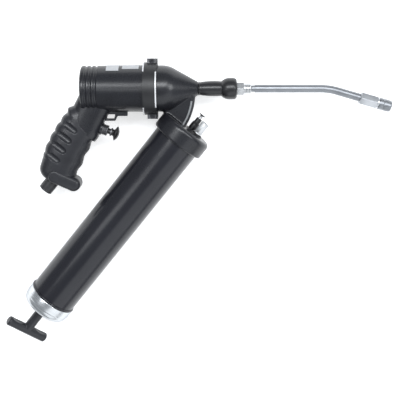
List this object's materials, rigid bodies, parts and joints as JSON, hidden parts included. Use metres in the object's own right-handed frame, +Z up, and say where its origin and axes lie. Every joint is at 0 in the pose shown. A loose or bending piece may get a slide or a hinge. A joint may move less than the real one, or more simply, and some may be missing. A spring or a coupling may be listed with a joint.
{
  "type": "pneumatic grease gun",
  "caption": "Air-operated pistol-grip grease gun with a ribbed grip, clamped pump head, slanted grease barrel with T-handle, bent delivery pipe and grease coupler.",
  "frame": {"origin": "centre of the bounding box on the surface it lies on; the gun lies on its left side", "axes": "+X along the pump axis towards the nozzle, +Y towards the top of the gun, +Z up, out of the gun's right side"},
  "size_m": [0.464, 0.3508, 0.0662],
  "materials": {
    "cast_black": "satin black coated aluminium casting",
    "band_black": "satin black, bare metal on its edges",
    "moulding_black": "fine-grained black moulding",
    "bush_dark": "dark blackened steel",
    "bush_grey": "grey turned steel",
    "button_black": "smooth black moulding",
    "screw_dark": "blackened steel",
    "outlet_black": "satin black turned steel",
    "bleeder_black": "black turned steel",
    "bright_steel": "bright plated steel",
    "zinc_pipe": "zinc plated steel",
    "barrel_black": "satin black paint on steel tube",
    "cap_bright": "bright plated pressed steel",
    "piston_metal": "machined",
    "plain_steel": "plain steel",
    "spring_steel": "spring wire",
    "seal_rubber": "black rubber",
    "packing": "packing rings",
    "valve_brass": "turned brass"
  },
  "bodies": {
    "gun": {"motor_housing": "cast_black", "grip_sleeve": "moulding_black", "grip_base": "moulding_black", "air_inlet": "bush_dark", "clamp_half_near": "band_black", "clamp_half_far": "band_black", "clamp_screws": "screw_dark", "head_gasket": "seal_rubber", "return_spring": "spring_steel", "pump_head": "cast_black", "plunger_packing": "packing", "pump_liner": "plain_steel", "trigger_bushing": "bush_grey", "valve_spring": "spring_steel", "bleeder_body": "bleeder_black", "bleeder_spring": "spring_steel", "filler_nipple": "bright_steel", "filler_washer": "seal_rubber", "outlet_neck": "outlet_black", "check_spring": "spring_steel", "pipe_adapter": "bright_steel", "delivery_pipe": "zinc_pipe", "coupler_body": "bright_steel", "coupler_nose": "bright_steel", "coupler_spring": "spring_steel", "barrel": "barrel_black", "barrel_gasket": "seal_rubber", "end_cap": "cap_bright", "follower_spring": "spring_steel"},
    "piston": {"air_piston": "piston_metal", "piston_seal": "seal_rubber", "plunger": "bright_steel"},
    "trigger": {"trigger_button": "button_black", "valve_stem": "valve_brass"},
    "bleeder": {"bleeder_stem": "plain_steel"},
    "check": {"check_ball": "bright_steel"},
    "follower": {"follower": "plain_steel", "follower_seal": "seal_rubber"},
    "handle": {"follower_rod": "zinc_pipe", "t_handle": "moulding_black"},
    "jaws": {"coupler_jaws": "plain_steel", "coupler_seal": "seal_rubber"}
  },
  "joints": [
    {"name": "piston_stroke", "type": "slide", "parent": "gun", "child": "piston", "axis": [1, 0, 0], "range_m": [0, 0.032], "stiffness_N_per_m": 1200, "springref_m": -0.012, "deforming": ["return_spring"]},
    {"name": "trigger_press", "type": "slide", "parent": "gun", "child": "trigger", "axis": [-0.9455, 0.3256, 0], "range_m": [0, 0.003], "stiffness_N_per_m": 1500, "springref_m": -0.004, "deforming": ["valve_spring"]},
    {"name": "bleeder_press", "type": "slide", "parent": "gun", "child": "bleeder", "axis": [-0.6252, -0.7804, 0], "range_m": [0, 0.0022], "stiffness_N_per_m": 900, "springref_m": -0.002, "deforming": ["bleeder_spring"]},
    {"name": "check_lift", "type": "slide", "parent": "gun", "child": "check", "axis": [1, 0, 0], "range_m": [0, 0.002], "stiffness_N_per_m": 400, "springref_m": -0.002, "deforming": ["check_spring"]},
    {"name": "follower_slide", "type": "slide", "parent": "gun", "child": "follower", "axis": [-0.6252, -0.7804, 0], "range_m": [0, 0.19], "stiffness_N_per_m": 180, "springref_m": -0.12, "deforming": ["follower_spring"]},
    {"name": "handle_turn", "type": "hinge", "parent": "follower", "child": "handle", "pos_m": [-0.18821, -0.12943, 0.0331], "axis": [-0.6252, -0.7804, 0], "continuous": true},
    {"name": "jaws_slide", "type": "slide", "parent": "gun", "child": "jaws", "axis": [-0.9613, 0.2756, 0], "range_m": [0, 0.0012], "stiffness_N_per_m": 2500, "springref_m": -0.001, "deforming": ["coupler_spring"]}
  ]
}
